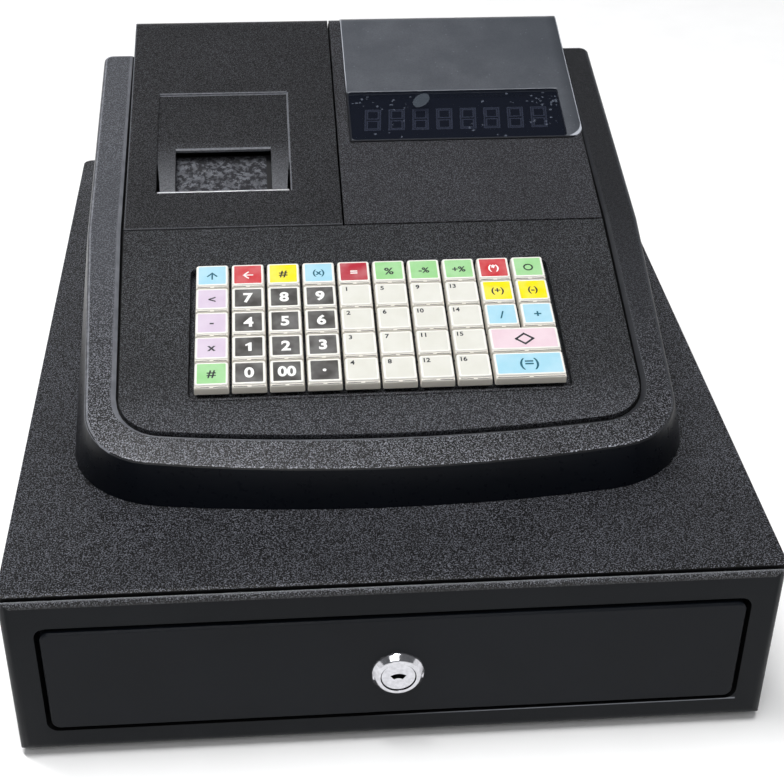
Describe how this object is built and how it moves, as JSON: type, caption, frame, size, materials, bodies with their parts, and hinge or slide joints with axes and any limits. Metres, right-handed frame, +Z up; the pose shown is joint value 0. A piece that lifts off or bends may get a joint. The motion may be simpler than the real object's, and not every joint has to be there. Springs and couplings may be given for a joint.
{
  "type": "ticket register",
  "caption": "Small electronic ticket register with a sloping keyboard, a printer and a display, on a steel cash drawer with a lock.",
  "frame": {"origin": "bottom centre of the bounding box, in the plane the feet stand on", "axes": "+Z up, -Y towards the operator (the front of the drawer), +X to the operator's right"},
  "size_m": [0.33, 0.425, 0.1928],
  "materials": {
    "case_steel": "black wrinkle powder coat",
    "front_steel": "satin black",
    "shell_plastic": "fine-textured charcoal",
    "inner_plastic": "matte black",
    "tray_plastic": "matte black",
    "lens_smoke": "smoked, clear gloss",
    "chrome": "polished",
    "steel_bright": "brushed",
    "rubber": "matte",
    "key_body": "ivory, light gloss"
  },
  "bodies": {
    "register": {"drawer_case": "case_steel", "base_case": "shell_plastic", "keyboard_panel": "shell_plastic", "display_cover": "shell_plastic", "display_lens": "lens_smoke", "print_unit": "inner_plastic"},
    "drawer": {"cash_drawer": "front_steel", "cash_tray": "tray_plastic"},
    "clips": {"bill_clips": "steel_bright"},
    "lock_plug": {"lock_cylinder": "chrome"},
    "printer_lid": {"printer_cover": "shell_plastic"},
    "platen": {"platen_roller": "rubber"},
    "b_key_r1_c1": {"key_r1_c1": "key_body"},
    "b_key_r1_c2": {"key_r1_c2": "key_body"},
    "b_key_r1_c3": {"key_r1_c3": "key_body"},
    "b_key_r1_c4": {"key_r1_c4": "key_body"},
    "b_key_r1_c5": {"key_r1_c5": "key_body"},
    "b_key_r1_c6": {"key_r1_c6": "key_body"},
    "b_key_r1_c7": {"key_r1_c7": "key_body"},
    "b_key_r1_c8": {"key_r1_c8": "key_body"},
    "b_key_r1_c9": {"key_r1_c9": "key_body"},
    "b_key_r2_c1": {"key_r2_c1": "key_body"},
    "b_key_r2_c2": {"key_r2_c2": "key_body"},
    "b_key_r2_c3": {"key_r2_c3": "key_body"},
    "b_key_r2_c4": {"key_r2_c4": "key_body"},
    "b_key_r2_c5": {"key_r2_c5": "key_body"},
    "b_key_r2_c6": {"key_r2_c6": "key_body"},
    "b_key_r2_c7": {"key_r2_c7": "key_body"},
    "b_key_r2_c8": {"key_r2_c8": "key_body"},
    "b_key_r2_c9": {"key_r2_c9": "key_body"},
    "b_key_r3_c1": {"key_r3_c1": "key_body"},
    "b_key_r3_c2": {"key_r3_c2": "key_body"},
    "b_key_r3_c3": {"key_r3_c3": "key_body"},
    "b_key_r3_c4": {"key_r3_c4": "key_body"},
    "b_key_r3_c5": {"key_r3_c5": "key_body"},
    "b_key_r3_c6": {"key_r3_c6": "key_body"},
    "b_key_r3_c7": {"key_r3_c7": "key_body"},
    "b_key_r3_c8": {"key_r3_c8": "key_body"},
    "b_key_r3_c9": {"key_r3_c9": "key_body"},
    "b_key_r3_c10": {"key_r3_c10": "key_body"},
    "b_key_r4_c1": {"key_r4_c1": "key_body"},
    "b_key_r4_c2": {"key_r4_c2": "key_body"},
    "b_key_r4_c3": {"key_r4_c3": "key_body"},
    "b_key_r4_c4": {"key_r4_c4": "key_body"},
    "b_key_r4_c5": {"key_r4_c5": "key_body"},
    "b_key_r4_c6": {"key_r4_c6": "key_body"},
    "b_key_r4_c7": {"key_r4_c7": "key_body"},
    "b_key_r4_c8": {"key_r4_c8": "key_body"},
    "b_key_r4_c9": {"key_r4_c9": "key_body"},
    "b_key_r4_c10": {"key_r4_c10": "key_body"},
    "b_key_r5_c1": {"key_r5_c1": "key_body"},
    "b_key_r5_c2": {"key_r5_c2": "key_body"},
    "b_key_r5_c3": {"key_r5_c3": "key_body"},
    "b_key_r5_c4": {"key_r5_c4": "key_body"},
    "b_key_r5_c5": {"key_r5_c5": "key_body"},
    "b_key_r5_c6": {"key_r5_c6": "key_body"},
    "b_key_r5_c7": {"key_r5_c7": "key_body"},
    "b_key_r5_c8": {"key_r5_c8": "key_body"},
    "b_key_r5_c9": {"key_r5_c9": "key_body"},
    "b_key_r5_c10": {"key_r5_c10": "key_body"}
  },
  "joints": [
    {"name": "bill_clips_lift", "type": "hinge", "parent": "drawer", "child": "clips", "pos_m": [0, 0.0628, 0.0625], "axis": [-1, 0, 0], "range_deg": [0, 65]},
    {"name": "cash_drawer_slide", "type": "slide", "parent": "register", "child": "drawer", "axis": [0, -1, 0], "range_m": [0, 0.3]},
    {"name": "cover_hinge", "type": "hinge", "parent": "register", "child": "printer_lid", "pos_m": [0, 0.1768, 0.1822], "axis": [-1, 0, 0], "range_deg": [0, 85]},
    {"name": "cylinder_turn", "type": "hinge", "parent": "drawer", "child": "lock_plug", "pos_m": [0, -0.2085, 0.042], "axis": [0, -1, 0], "range_deg": [0, 90]},
    {"name": "feed_roller_turn", "type": "hinge", "parent": "register", "child": "platen", "pos_m": [0, 0.04231, 0.125], "axis": [1, 0, 0], "continuous": true},
    {"name": "key_r1_c1_press", "type": "slide", "parent": "register", "child": "b_key_r1_c1", "axis": [0, 0.2122, -0.9772], "range_m": [0, 0.003], "stiffness_N_per_m": 120, "springref_m": -0.002},
    {"name": "key_r1_c2_press", "type": "slide", "parent": "register", "child": "b_key_r1_c2", "axis": [0, 0.2122, -0.9772], "range_m": [0, 0.003], "stiffness_N_per_m": 120, "springref_m": -0.002},
    {"name": "key_r1_c3_press", "type": "slide", "parent": "register", "child": "b_key_r1_c3", "axis": [0, 0.2122, -0.9772], "range_m": [0, 0.003], "stiffness_N_per_m": 120, "springref_m": -0.002},
    {"name": "key_r1_c4_press", "type": "slide", "parent": "register", "child": "b_key_r1_c4", "axis": [0, 0.2122, -0.9772], "range_m": [0, 0.003], "stiffness_N_per_m": 120, "springref_m": -0.002},
    {"name": "key_r1_c5_press", "type": "slide", "parent": "register", "child": "b_key_r1_c5", "axis": [0, 0.2122, -0.9772], "range_m": [0, 0.003], "stiffness_N_per_m": 120, "springref_m": -0.002},
    {"name": "key_r1_c6_press", "type": "slide", "parent": "register", "child": "b_key_r1_c6", "axis": [0, 0.2122, -0.9772], "range_m": [0, 0.003], "stiffness_N_per_m": 120, "springref_m": -0.002},
    {"name": "key_r1_c7_press", "type": "slide", "parent": "register", "child": "b_key_r1_c7", "axis": [0, 0.2122, -0.9772], "range_m": [0, 0.003], "stiffness_N_per_m": 120, "springref_m": -0.002},
    {"name": "key_r1_c8_press", "type": "slide", "parent": "register", "child": "b_key_r1_c8", "axis": [0, 0.2122, -0.9772], "range_m": [0, 0.003], "stiffness_N_per_m": 120, "springref_m": -0.002},
    {"name": "key_r1_c9_press", "type": "slide", "parent": "register", "child": "b_key_r1_c9", "axis": [0, 0.2122, -0.9772], "range_m": [0, 0.003], "stiffness_N_per_m": 120, "springref_m": -0.002},
    {"name": "key_r2_c1_press", "type": "slide", "parent": "register", "child": "b_key_r2_c1", "axis": [0, 0.2122, -0.9772], "range_m": [0, 0.003], "stiffness_N_per_m": 120, "springref_m": -0.002},
    {"name": "key_r2_c2_press", "type": "slide", "parent": "register", "child": "b_key_r2_c2", "axis": [0, 0.2122, -0.9772], "range_m": [0, 0.003], "stiffness_N_per_m": 120, "springref_m": -0.002},
    {"name": "key_r2_c3_press", "type": "slide", "parent": "register", "child": "b_key_r2_c3", "axis": [0, 0.2122, -0.9772], "range_m": [0, 0.003], "stiffness_N_per_m": 120, "springref_m": -0.002},
    {"name": "key_r2_c4_press", "type": "slide", "parent": "register", "child": "b_key_r2_c4", "axis": [0, 0.2122, -0.9772], "range_m": [0, 0.003], "stiffness_N_per_m": 120, "springref_m": -0.002},
    {"name": "key_r2_c5_press", "type": "slide", "parent": "register", "child": "b_key_r2_c5", "axis": [0, 0.2122, -0.9772], "range_m": [0, 0.003], "stiffness_N_per_m": 120, "springref_m": -0.002},
    {"name": "key_r2_c6_press", "type": "slide", "parent": "register", "child": "b_key_r2_c6", "axis": [0, 0.2122, -0.9772], "range_m": [0, 0.003], "stiffness_N_per_m": 120, "springref_m": -0.002},
    {"name": "key_r2_c7_press", "type": "slide", "parent": "register", "child": "b_key_r2_c7", "axis": [0, 0.2122, -0.9772], "range_m": [0, 0.003], "stiffness_N_per_m": 120, "springref_m": -0.002},
    {"name": "key_r2_c8_press", "type": "slide", "parent": "register", "child": "b_key_r2_c8", "axis": [0, 0.2122, -0.9772], "range_m": [0, 0.003], "stiffness_N_per_m": 120, "springref_m": -0.002},
    {"name": "key_r2_c9_press", "type": "slide", "parent": "register", "child": "b_key_r2_c9", "axis": [0, 0.2122, -0.9772], "range_m": [0, 0.003], "stiffness_N_per_m": 120, "springref_m": -0.002},
    {"name": "key_r3_c1_press", "type": "slide", "parent": "register", "child": "b_key_r3_c1", "axis": [0, 0.2122, -0.9772], "range_m": [0, 0.003], "stiffness_N_per_m": 120, "springref_m": -0.002},
    {"name": "key_r3_c2_press", "type": "slide", "parent": "register", "child": "b_key_r3_c2", "axis": [0, 0.2122, -0.9772], "range_m": [0, 0.003], "stiffness_N_per_m": 120, "springref_m": -0.002},
    {"name": "key_r3_c3_press", "type": "slide", "parent": "register", "child": "b_key_r3_c3", "axis": [0, 0.2122, -0.9772], "range_m": [0, 0.003], "stiffness_N_per_m": 120, "springref_m": -0.002},
    {"name": "key_r3_c4_press", "type": "slide", "parent": "register", "child": "b_key_r3_c4", "axis": [0, 0.2122, -0.9772], "range_m": [0, 0.003], "stiffness_N_per_m": 120, "springref_m": -0.002},
    {"name": "key_r3_c5_press", "type": "slide", "parent": "register", "child": "b_key_r3_c5", "axis": [0, 0.2122, -0.9772], "range_m": [0, 0.003], "stiffness_N_per_m": 120, "springref_m": -0.002},
    {"name": "key_r3_c6_press", "type": "slide", "parent": "register", "child": "b_key_r3_c6", "axis": [0, 0.2122, -0.9772], "range_m": [0, 0.003], "stiffness_N_per_m": 120, "springref_m": -0.002},
    {"name": "key_r3_c7_press", "type": "slide", "parent": "register", "child": "b_key_r3_c7", "axis": [0, 0.2122, -0.9772], "range_m": [0, 0.003], "stiffness_N_per_m": 120, "springref_m": -0.002},
    {"name": "key_r3_c8_press", "type": "slide", "parent": "register", "child": "b_key_r3_c8", "axis": [0, 0.2122, -0.9772], "range_m": [0, 0.003], "stiffness_N_per_m": 120, "springref_m": -0.002},
    {"name": "key_r3_c9_press", "type": "slide", "parent": "register", "child": "b_key_r3_c9", "axis": [0, 0.2122, -0.9772], "range_m": [0, 0.003], "stiffness_N_per_m": 120, "springref_m": -0.002},
    {"name": "key_r3_c10_press", "type": "slide", "parent": "register", "child": "b_key_r3_c10", "axis": [0, 0.2122, -0.9772], "range_m": [0, 0.003], "stiffness_N_per_m": 120, "springref_m": -0.002},
    {"name": "key_r4_c1_press", "type": "slide", "parent": "register", "child": "b_key_r4_c1", "axis": [0, 0.2122, -0.9772], "range_m": [0, 0.003], "stiffness_N_per_m": 120, "springref_m": -0.002},
    {"name": "key_r4_c2_press", "type": "slide", "parent": "register", "child": "b_key_r4_c2", "axis": [0, 0.2122, -0.9772], "range_m": [0, 0.003], "stiffness_N_per_m": 120, "springref_m": -0.002},
    {"name": "key_r4_c3_press", "type": "slide", "parent": "register", "child": "b_key_r4_c3", "axis": [0, 0.2122, -0.9772], "range_m": [0, 0.003], "stiffness_N_per_m": 120, "springref_m": -0.002},
    {"name": "key_r4_c4_press", "type": "slide", "parent": "register", "child": "b_key_r4_c4", "axis": [0, 0.2122, -0.9772], "range_m": [0, 0.003], "stiffness_N_per_m": 120, "springref_m": -0.002},
    {"name": "key_r4_c5_press", "type": "slide", "parent": "register", "child": "b_key_r4_c5", "axis": [0, 0.2122, -0.9772], "range_m": [0, 0.003], "stiffness_N_per_m": 120, "springref_m": -0.002},
    {"name": "key_r4_c6_press", "type": "slide", "parent": "register", "child": "b_key_r4_c6", "axis": [0, 0.2122, -0.9772], "range_m": [0, 0.003], "stiffness_N_per_m": 120, "springref_m": -0.002},
    {"name": "key_r4_c7_press", "type": "slide", "parent": "register", "child": "b_key_r4_c7", "axis": [0, 0.2122, -0.9772], "range_m": [0, 0.003], "stiffness_N_per_m": 120, "springref_m": -0.002},
    {"name": "key_r4_c8_press", "type": "slide", "parent": "register", "child": "b_key_r4_c8", "axis": [0, 0.2122, -0.9772], "range_m": [0, 0.003], "stiffness_N_per_m": 120, "springref_m": -0.002},
    {"name": "key_r4_c9_press", "type": "slide", "parent": "register", "child": "b_key_r4_c9", "axis": [0, 0.2122, -0.9772], "range_m": [0, 0.003], "stiffness_N_per_m": 120, "springref_m": -0.002},
    {"name": "key_r4_c10_press", "type": "slide", "parent": "register", "child": "b_key_r4_c10", "axis": [0, 0.2122, -0.9772], "range_m": [0, 0.003], "stiffness_N_per_m": 120, "springref_m": -0.002},
    {"name": "key_r5_c1_press", "type": "slide", "parent": "register", "child": "b_key_r5_c1", "axis": [0, 0.2122, -0.9772], "range_m": [0, 0.003], "stiffness_N_per_m": 120, "springref_m": -0.002},
    {"name": "key_r5_c2_press", "type": "slide", "parent": "register", "child": "b_key_r5_c2", "axis": [0, 0.2122, -0.9772], "range_m": [0, 0.003], "stiffness_N_per_m": 120, "springref_m": -0.002},
    {"name": "key_r5_c3_press", "type": "slide", "parent": "register", "child": "b_key_r5_c3", "axis": [0, 0.2122, -0.9772], "range_m": [0, 0.003], "stiffness_N_per_m": 120, "springref_m": -0.002},
    {"name": "key_r5_c4_press", "type": "slide", "parent": "register", "child": "b_key_r5_c4", "axis": [0, 0.2122, -0.9772], "range_m": [0, 0.003], "stiffness_N_per_m": 120, "springref_m": -0.002},
    {"name": "key_r5_c5_press", "type": "slide", "parent": "register", "child": "b_key_r5_c5", "axis": [0, 0.2122, -0.9772], "range_m": [0, 0.003], "stiffness_N_per_m": 120, "springref_m": -0.002},
    {"name": "key_r5_c6_press", "type": "slide", "parent": "register", "child": "b_key_r5_c6", "axis": [0, 0.2122, -0.9772], "range_m": [0, 0.003], "stiffness_N_per_m": 120, "springref_m": -0.002},
    {"name": "key_r5_c7_press", "type": "slide", "parent": "register", "child": "b_key_r5_c7", "axis": [0, 0.2122, -0.9772], "range_m": [0, 0.003], "stiffness_N_per_m": 120, "springref_m": -0.002},
    {"name": "key_r5_c8_press", "type": "slide", "parent": "register", "child": "b_key_r5_c8", "axis": [0, 0.2122, -0.9772], "range_m": [0, 0.003], "stiffness_N_per_m": 120, "springref_m": -0.002},
    {"name": "key_r5_c9_press", "type": "slide", "parent": "register", "child": "b_key_r5_c9", "axis": [0, 0.2122, -0.9772], "range_m": [0, 0.003], "stiffness_N_per_m": 120, "springref_m": -0.002},
    {"name": "key_r5_c10_press", "type": "slide", "parent": "register", "child": "b_key_r5_c10", "axis": [0, 0.2122, -0.9772], "range_m": [0, 0.003], "stiffness_N_per_m": 120, "springref_m": -0.002}
  ]
}
